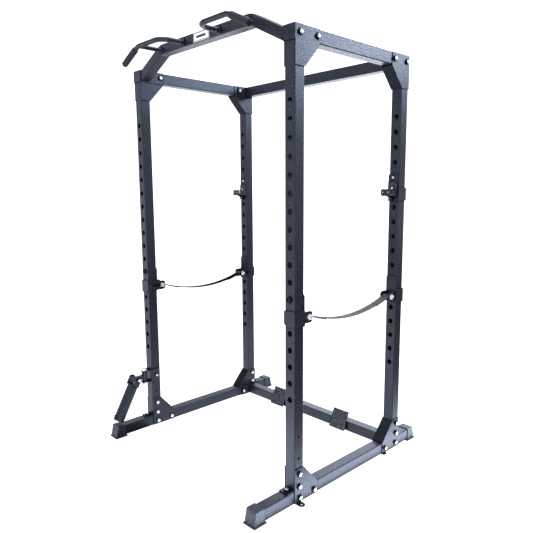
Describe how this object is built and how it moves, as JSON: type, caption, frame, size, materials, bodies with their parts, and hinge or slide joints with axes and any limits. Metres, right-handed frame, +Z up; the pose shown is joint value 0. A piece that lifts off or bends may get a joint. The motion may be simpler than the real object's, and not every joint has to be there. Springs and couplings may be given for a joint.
{
  "type": "power cage",
  "caption": "Tube-steel power cage with a multi-grip pull-up bar, J-hooks, webbing safety straps, rear foot plates and a swivelling landmine sleeve on the front post.",
  "frame": {"origin": "on the floor, under the centre of the bounding box", "axes": "+Z up; +X towards the cage's right side; -Y towards the front, where the pull-up bar is"},
  "size_m": [1.2212, 1.1564, 2.012],
  "materials": {
    "powder_coat": "fine-textured black powder coat with a blue-grey sheen",
    "zinc": "bright zinc plate",
    "black_plastic": "moulded satin",
    "tread_rubber": "textured",
    "grip_rubber": "matt",
    "webbing": "woven nylon",
    "label": "satin, blank"
  },
  "bodies": {
    "frame": {"base_rail_left": "powder_coat", "top_beam_left": "powder_coat", "foot_plate_left": "tread_rubber", "foot_plate_bracket_left": "powder_coat", "pullup_bracket_left": "powder_coat", "pullup_handle_left": "powder_coat", "handle_cap_left": "black_plastic", "handle_grip_left": "grip_rubber", "base_rail_right": "powder_coat", "top_beam_right": "powder_coat", "foot_plate_right": "tread_rubber", "foot_plate_bracket_right": "powder_coat", "pullup_bracket_right": "powder_coat", "pullup_handle_right": "powder_coat", "handle_cap_right": "black_plastic", "handle_grip_right": "grip_rubber", "upright_front_left": "powder_coat", "upright_plug_front_left": "black_plastic", "foot_cap_front_left": "black_plastic", "base_gusset_front_left": "powder_coat", "top_gusset_front_left": "powder_coat", "upright_rear_left": "powder_coat", "upright_plug_rear_left": "black_plastic", "foot_cap_rear_left": "black_plastic", "base_gusset_rear_left": "powder_coat", "top_gusset_rear_left": "powder_coat", "upright_front_right": "powder_coat", "upright_plug_front_right": "black_plastic", "foot_cap_front_right": "black_plastic", "base_gusset_front_right": "powder_coat", "top_gusset_front_right": "powder_coat", "upright_rear_right": "powder_coat", "upright_plug_rear_right": "black_plastic", "foot_cap_rear_right": "black_plastic", "base_gusset_rear_right": "powder_coat", "top_gusset_rear_right": "powder_coat", "base_crossmember": "powder_coat", "top_beam_rear": "powder_coat", "pullup_bar": "powder_coat", "label_plate": "label", "landmine_clamp": "powder_coat", "landmine_swivel_bolt": "zinc"},
    "jhook_left": {"jhook_left": "powder_coat", "jhook_liner_left": "black_plastic"},
    "jhook_right": {"jhook_right": "powder_coat", "jhook_liner_right": "black_plastic"},
    "strap_left": {"safety_strap_left": "webbing", "strap_bracket_front_left": "powder_coat", "strap_bracket_rear_left": "powder_coat", "strap_bolt_front_left": "zinc", "strap_bolt_rear_left": "zinc"},
    "strap_right": {"safety_strap_right": "webbing", "strap_bracket_front_right": "powder_coat", "strap_bracket_rear_right": "powder_coat", "strap_bolt_front_right": "zinc", "strap_bolt_rear_right": "zinc"},
    "landmine_swivel": {"landmine_swivel": "powder_coat"},
    "landmine_arm": {"landmine_yoke": "powder_coat", "landmine_tube": "powder_coat", "landmine_tilt_bolt": "zinc"}
  },
  "joints": [
    {"name": "jhook_left_swing", "type": "hinge", "parent": "frame", "child": "jhook_left", "pos_m": [-0.5476, 0.39785, 1.369], "axis": [0, 1, 0], "range_deg": [0, 90]},
    {"name": "jhook_right_swing", "type": "hinge", "parent": "frame", "child": "jhook_right", "pos_m": [0.5476, 0.39785, 1.369], "axis": [0, -1, 0], "range_deg": [0, 90]},
    {"name": "strap_left_swing", "type": "hinge", "parent": "frame", "child": "strap_left", "pos_m": [-0.5476, 0, 0.879], "axis": [0, 1, 0], "range_deg": [0, 90]},
    {"name": "strap_right_swing", "type": "hinge", "parent": "frame", "child": "strap_right", "pos_m": [0.5476, 0, 0.879], "axis": [0, -1, 0], "range_deg": [0, 90]},
    {"name": "landmine_swivel_turn", "type": "hinge", "parent": "frame", "child": "landmine_swivel", "pos_m": [-0.5476, -0.37585, 0.293], "axis": [0, 0, 1], "range_deg": [-45, 45]},
    {"name": "landmine_tilt", "type": "hinge", "parent": "landmine_swivel", "child": "landmine_arm", "pos_m": [-0.5476, -0.42985, 0.293], "axis": [-1, 0, 0], "range_deg": [0, 90]}
  ]
}
